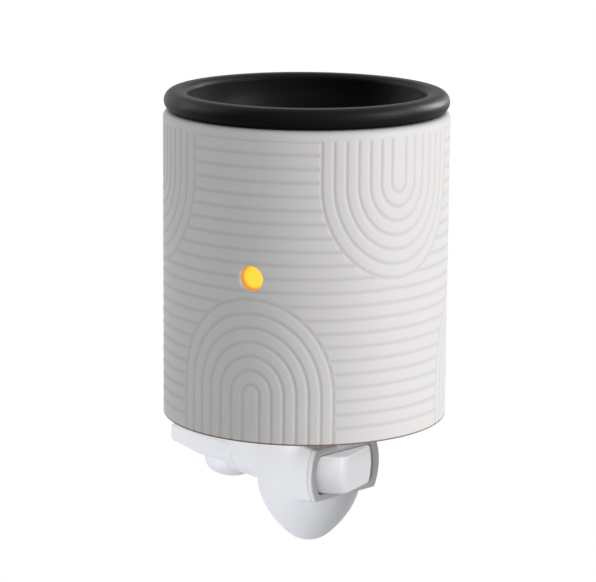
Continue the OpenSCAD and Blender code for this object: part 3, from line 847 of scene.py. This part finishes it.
def switch_rule(x, y, z):
    z = z - MID_Z
    flange = barrel(x, z, PANEL_HALF_H, PANEL_MID_W, PANEL_CORNER)
    flange = rounded_overlap(flange, PANEL_Y - y, SHELL_EDGE_R)
    flange = np.maximum(flange, y - (PANEL_Y + BEZEL_T))
    case = barrel(x, z, PANEL_HALF_H - CASE_IN_H, PANEL_MID_W - CASE_IN_W, CASE_CORNER)
    case = np.maximum(case, slab(y, CASE_FRONT, SWITCH_BACK))
    case = np.maximum(case, np.minimum(np.abs(x) - CASE_CUT_HALF_W, y - CASE_CUT_Y))
    solid = np.minimum(flange, case)
    cavity = barrel(x, z, CAVITY_HALF_H, CAVITY_MID_W, CAVITY_CORNER)
    cavity = np.maximum(cavity, y - CAVITY_Y)
    # The mouth of the cavity is eased by a small round
    mouth = -rounded_overlap(-cavity, PANEL_Y - y, MOUTH_R)
    trunnion = np.maximum(np.hypot(x, y - PIVOT_Y) - (TRUNNION_R + TRUNNION_FIT),
                          np.abs(z) - (TRUNNION_HALF_L + TRUNNION_END_FIT))
    slots = np.minimum(np.abs(x), np.abs(x - TERMINAL_X)) - TERMINAL_SLOT_HALF_T
    slots = np.maximum(slots, np.abs(z) - TERMINAL_SLOT_HALF_H)
    slots = np.maximum(slots, CAVITY_Y - SLOT_PAST - y)
    return np.maximum(solid, -np.minimum(np.minimum(cavity, mouth), np.minimum(trunnion, slots)))


def make_switch_body():
    low = (-13.8, PANEL_Y - 0.1, MID_Z - 7.6)
    high = (13.8, SWITCH_BACK + 0.1, MID_Z + 7.6)
    case = cast("switch_case", switch_rule, low, high, cell=0.3, slot="switch_plastic")
    return stand(case, "housing", "switch_body")


def rocker_rule(x, y, z):
    """The rocker with its right side pressed in; u runs along its flat face, v out of it."""
    c, s = math.cos(ROCKER_TILT), math.sin(ROCKER_TILT)
    right, out = x, PIVOT_Y - y
    u = right * c - out * s
    v = out * c + right * s
    z = z - MID_Z
    bowed = np.hypot(np.hypot(u, v) + ROCKER_BOW_CENTRE, z) - (ROCKER_R + ROCKER_BOW_CENTRE)
    face = rounded_overlap(bowed, v - ROCKER_RISE, RIDGE_R)
    outline = np.maximum(np.abs(z) - ROCKER_HALF_H, ROCKER_BACK - v)
    solid = rounded_overlap(face, outline, ROCKER_EDGE_R)
    inner = np.maximum(bowed + ROCKER_SKIN, v - (ROCKER_RISE - ROCKER_SKIN))
    inner = np.maximum(inner, np.abs(z) - (ROCKER_HALF_H - ROCKER_SKIN))
    solid = np.maximum(solid, -inner)
    web = np.maximum(np.abs(u) - WEB_HALF_T, np.abs(z) - ROCKER_HALF_H)
    web = np.maximum(web, slab(v, ROCKER_BACK, WEB_TOP))
    spring_barrel = np.maximum(np.hypot(u, z) - BARREL_R, slab(v, BARREL_BACK, WEB_TOP))
    trunnions = np.maximum(np.hypot(u, v) - TRUNNION_R, np.abs(z) - TRUNNION_HALF_L)
    solid = np.minimum(np.minimum(solid, web), np.minimum(spring_barrel, trunnions))
    return np.maximum(solid, -np.maximum(np.hypot(u, z) - SPRING_BORE_R, v - SPRING_BORE_TOP))


def make_rocker():
    low = (-11.6, PIVOT_Y - 10.6, MID_Z - 6.3)
    high = (11.6, PIVOT_Y + 4, MID_Z + 6.3)
    rocker = cast("rocker", rocker_rule, low, high, cell=0.25, slot="switch_plastic")
    return stand(rocker, "rocker", "switch_rocker")


# Setting and light

FLOOR_Z = -0.16
FLOOR_SHOWN = 0.8
WALL_Y = 0.3 * MM
SHEET_HALF = 3.0
WORLD_LIGHT = 0.42


def seen_rays(nodes):
    """1 for camera, glossy and transmission rays, and 0 for the rest."""
    kinds = ("Is Camera Ray", "Is Glossy Ray", "Is Transmission Ray")
    camera, glossy, through = [nodes.node("ShaderNodeLightPath", output=kind) for kind in kinds]
    return camera + glossy + through


def sheet_paint(name, shown, lit):
    """White by the share shown to the rays that are seen, and clear to all rays from behind.

    The rest is a pale matt surface where it is lit, and clear where it isn't.
    """
    paint = Paint(name, Roughness=0.9, Base_Color=(0.86, 0.86, 0.86, 1.0))
    clear = paint.node("ShaderNodeBsdfTransparent")
    rest = Value(paint, paint.shader.outputs[0]) if lit else clear
    white = paint.node("ShaderNodeEmission", inputs={"Color": WHITE})
    front = paint.node("ShaderNodeMixShader", inputs=[seen_rays(paint) * shown, rest, white])
    behind = paint.node("ShaderNodeNewGeometry", output="Backfacing")
    surface = paint.node("ShaderNodeMixShader", inputs=[behind, front, clear])
    paint.show(surface, "Material Output")
    return paint.material


def flat_sheet(name, points, material):
    mesh = bpy.data.meshes.new(name)
    mesh.from_pydata(points, [], [(0, 1, 2, 3)])
    mesh.materials.append(material)
    sheet = bpy.data.objects.new(name, mesh)
    bpy.context.scene.collection.objects.link(sheet)


SHEET_CORNERS = [(-SHEET_HALF, -SHEET_HALF), (SHEET_HALF, -SHEET_HALF),
                 (SHEET_HALF, SHEET_HALF), (-SHEET_HALF, SHEET_HALF)]


def make_floor():
    """A pale floor below the warmer, which hangs from its plug. It shows from above alone."""
    points = [(a, b, FLOOR_Z) for a, b in SHEET_CORNERS]
    flat_sheet("floor", points, sheet_paint("pale_floor", FLOOR_SHOWN, lit=True))


def make_wall():
    """The wall that the warmer is plugged into. It shows from the room's side alone."""
    points = [(a, WALL_Y, b) for a, b in SHEET_CORNERS]
    flat_sheet("wall", points, sheet_paint("pale_wall", 1.0, lit=False))


def make_world():
    """White where it is seen, and a softer light for the rest."""
    world = bpy.data.worlds.new("studio")
    bpy.context.scene.world = world
    world.use_nodes = True
    nodes = Nodes(world.node_tree)
    light, white = [
        nodes.node("ShaderNodeBackground", inputs={"Color": WHITE, "Strength": strength})
        for strength in (WORLD_LIGHT, 1.0)]
    surface = nodes.node("ShaderNodeMixShader", inputs=[seen_rays(nodes), light, white])
    nodes.show(surface, "World Output")


def gathered(name, pieces):
    """A collection that names the pieces a lamp lights, or is shaded by."""
    group = bpy.data.collections.new(name)
    for piece in pieces:
        group.objects.link(piece)
    return group


def add_lamp(name, turn, height, size, power, aim, only, distance=0.9, shaded_by=None):
    """A square soft lamp that lights only the given pieces.

    The turn is from the camera's side, positive to the right. The lamp's height and the height
    that it aims at are above the shade's foot.
    """
    data = bpy.data.lights.new(name, "AREA")
    data.size = size
    data.energy = power
    lamp = bpy.data.objects.new(name, data)
    bpy.context.scene.collection.objects.link(lamp)
    angle = math.radians(turn)
    lamp.location = seen(distance * math.sin(angle), -distance * math.cos(angle), height)
    direction = seen(0, 0, aim) - lamp.location
    lamp.rotation_euler = direction.to_track_quat("-Z", "Y").to_euler()
    lamp.light_linking.receiver_collection = gathered(name + "_lit", only)
    if shaded_by:
        lamp.light_linking.blocker_collection = gathered(name + "_shaded", shaded_by)


make_camera()
dress_cad_nodes()
shade, dish, lens = make_shade(), make_dish(), make_lens()
front, rear, switch, rocker = make_front_shell(), make_rear_shell(), make_switch_body(), make_rocker()
make_floor()
make_wall()
make_world()

upper = [shade, dish, lens]
small_names = ("base_gasket", "shell_screws", "line_blade", "neutral_blade")
lower = [front, rear, switch] + [frame["nodes"][name] for name in small_names]
SHADE_AIM, HOUSING_AIM, RIM_AIM = 0.04, -0.01, 0.09
add_lamp("right_key", 65, 0.10, size=0.45, power=4.9, aim=SHADE_AIM, only=upper)
add_lamp("left_edge", -80, 0.10, size=0.4, power=0.5, aim=SHADE_AIM, only=upper)
add_lamp("left_low", -42, -0.14, size=0.45, power=8.7, aim=HOUSING_AIM, only=lower)
add_lamp("front_low", 35, 0.28, size=0.45, power=4.0, aim=HOUSING_AIM, only=[rocker])
add_lamp("switch_top", 20, 0.8, size=0.4, power=5.0, aim=HOUSING_AIM, only=[rocker],
         distance=0.45, shaded_by=[switch, rocker])
add_lamp("rim_left", -125, 0.35, size=0.4, power=22.0, aim=RIM_AIM, only=[dish])
add_lamp("rim_right", 130, 0.35, size=0.4, power=19.0, aim=RIM_AIM, only=[dish])
add_lamp("well_right", 75, 0.55, size=0.5, power=21.0, aim=RIM_AIM, only=[dish])
bpy.context.scene.view_settings.view_transform = "Standard"
